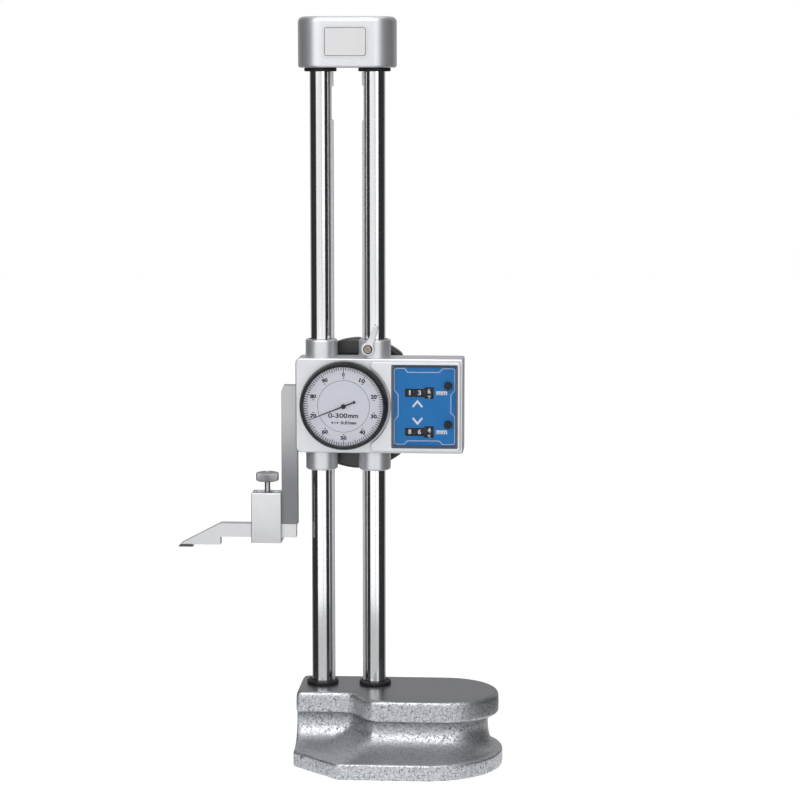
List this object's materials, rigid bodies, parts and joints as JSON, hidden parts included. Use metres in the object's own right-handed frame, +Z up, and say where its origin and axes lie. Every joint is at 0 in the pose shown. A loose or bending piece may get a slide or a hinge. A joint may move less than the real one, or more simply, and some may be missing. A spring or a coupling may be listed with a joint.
{
  "type": "height gauge",
  "caption": "Twin-column dial height gauge: a cast base carries two columns with a rack, and a slider with dial, digit counters, hand wheel and clamped scriber.",
  "frame": {"origin": "on the ground underside of the base, midway between the two columns", "axes": "+X to the right seen from the dial side, +Y to the back, +Z up along the columns"},
  "size_m": [0.2163, 0.1075, 0.4839],
  "materials": {
    "hammertone": "silver hammertone enamel",
    "castPaint": "satin silver enamel",
    "chromed": "polished hard chrome",
    "steel": "ground steel",
    "groundWhite": "satin chromed steel",
    "carbide": "ground carbide",
    "rubber": "matt black rubber",
    "blackPlastic": "moulded black",
    "digitWheel": "black, white digits",
    "bluePlate": "printed blue",
    "dialWhite": "printed silver white",
    "clear": "clear",
    "black": "black lacquer",
    "brass": "turned brass",
    "labelPlate": "bare printed plate"
  },
  "bodies": {
    "base": {"base_casting": "hammertone", "left_column": "chromed", "right_column": "chromed", "left_guide_strip": "steel", "right_rack": "steel", "lower_bumpers": "rubber", "upper_bumpers": "rubber", "column_bolts": "steel", "top_cap": "castPaint", "cap_label": "labelPlate", "cap_screws": "steel"},
    "slider": {"slider_body": "castPaint", "column_bushes": "brass", "dial_case": "castPaint", "case_screws": "steel", "rear_cover": "castPaint", "rear_cover_screws": "steel", "front_cover": "castPaint", "counter_plate": "bluePlate", "counter_window": "clear", "counter_frame": "steel", "up_counter_shaft": "steel", "down_counter_shaft": "steel", "measuring_arm": "steel", "arm_screws": "steel"},
    "bezel": {"dial_bezel": "blackPlastic", "dial_face": "dialWhite", "retaining_ring": "steel", "dial_glass": "clear"},
    "pointer": {"pointer": "black", "pointer_shaft": "steel"},
    "feed": {"feed_shaft": "steel", "hand_wheel": "blackPlastic", "hand_wheel_nut": "steel"},
    "lock": {"lock_lever": "groundWhite", "lock_screw": "brass"},
    "up_button": {"up_reset_button": "blackPlastic"},
    "down_button": {"down_reset_button": "blackPlastic"},
    "scriber": {"scriber": "groundWhite", "carbide_tip": "carbide"},
    "clamp": {"scriber_clamp": "groundWhite"},
    "thumb_screw": {"thumb_screw": "steel"},
    "up_hundreds": {"up_counter_hundreds_wheel": "digitWheel"},
    "up_tens": {"up_counter_tens_wheel": "digitWheel"},
    "up_units": {"up_counter_units_wheel": "digitWheel"},
    "down_hundreds": {"down_counter_hundreds_wheel": "digitWheel"},
    "down_tens": {"down_counter_tens_wheel": "digitWheel"},
    "down_units": {"down_counter_units_wheel": "digitWheel"}
  },
  "joints": [
    {"name": "slider_slide", "type": "slide", "parent": "base", "child": "slider", "axis": [0, 0, 1], "range_m": [-0.13669, 0.16331]},
    {"name": "bezel_turn", "type": "hinge", "parent": "slider", "child": "bezel", "pos_m": [-0.0015, -0.02, 0.2335], "axis": [0, 1, 0], "continuous": true},
    {"name": "pointer_turn", "type": "hinge", "parent": "slider", "child": "pointer", "pos_m": [-0.0015, -0.02, 0.2335], "axis": [0, 1, 0], "continuous": true},
    {"name": "feed_turn", "type": "hinge", "parent": "slider", "child": "feed", "pos_m": [0.00555, 0, 0.2305], "axis": [0, 1, 0], "continuous": true},
    {"name": "lock_turn", "type": "hinge", "parent": "slider", "child": "lock", "pos_m": [0.0139, -0.0106, 0.27], "axis": [0, 1, 0], "range_deg": [-30, 45]},
    {"name": "up_hundreds_turn", "type": "hinge", "parent": "slider", "child": "up_hundreds", "pos_m": [0.0412, -0.0052, 0.242], "axis": [1, 0, 0], "continuous": true},
    {"name": "up_tens_turn", "type": "hinge", "parent": "slider", "child": "up_tens", "pos_m": [0.0475, -0.0052, 0.242], "axis": [1, 0, 0], "continuous": true},
    {"name": "up_units_turn", "type": "hinge", "parent": "slider", "child": "up_units", "pos_m": [0.0538, -0.0052, 0.242], "axis": [1, 0, 0], "continuous": true},
    {"name": "down_hundreds_turn", "type": "hinge", "parent": "slider", "child": "down_hundreds", "pos_m": [0.0412, -0.0052, 0.2164], "axis": [1, 0, 0], "continuous": true},
    {"name": "down_tens_turn", "type": "hinge", "parent": "slider", "child": "down_tens", "pos_m": [0.0475, -0.0052, 0.2164], "axis": [1, 0, 0], "continuous": true},
    {"name": "down_units_turn", "type": "hinge", "parent": "slider", "child": "down_units", "pos_m": [0.0538, -0.0052, 0.2164], "axis": [1, 0, 0], "continuous": true},
    {"name": "up_button_press", "type": "slide", "parent": "slider", "child": "up_button", "axis": [0, 1, 0], "range_m": [0, 0.0015], "stiffness_N_per_m": 600, "springref_m": -0.001},
    {"name": "down_button_press", "type": "slide", "parent": "slider", "child": "down_button", "axis": [0, 1, 0], "range_m": [0, 0.0015], "stiffness_N_per_m": 600, "springref_m": -0.001},
    {"name": "scriber_slide", "type": "slide", "parent": "slider", "child": "scriber", "axis": [1, 0, 0], "range_m": [-0.018, 0]},
    {"name": "clamp_slide", "type": "slide", "parent": "slider", "child": "clamp", "axis": [1, 0, 0], "range_m": [-0.004, 0]},
    {"name": "thumb_screw_turn", "type": "hinge", "parent": "clamp", "child": "thumb_screw", "pos_m": [-0.0538, 0, 0.18269], "axis": [0, 0, 1], "continuous": true}
  ],
  "couplings": [
    {"joint": "pointer_turn", "follows": "slider_slide", "rad_per_m": 6283.2},
    {"joint": "feed_turn", "follows": "slider_slide", "rad_per_m": 251.33},
    {"joint": "up_hundreds_turn", "follows": "slider_slide", "rad_per_m": -6.2832},
    {"joint": "up_tens_turn", "follows": "slider_slide", "rad_per_m": -62.832},
    {"joint": "up_units_turn", "follows": "slider_slide", "rad_per_m": -628.32},
    {"joint": "down_hundreds_turn", "follows": "slider_slide", "rad_per_m": 6.2832},
    {"joint": "down_tens_turn", "follows": "slider_slide", "rad_per_m": 62.832},
    {"joint": "down_units_turn", "follows": "slider_slide", "rad_per_m": 628.32}
  ]
}
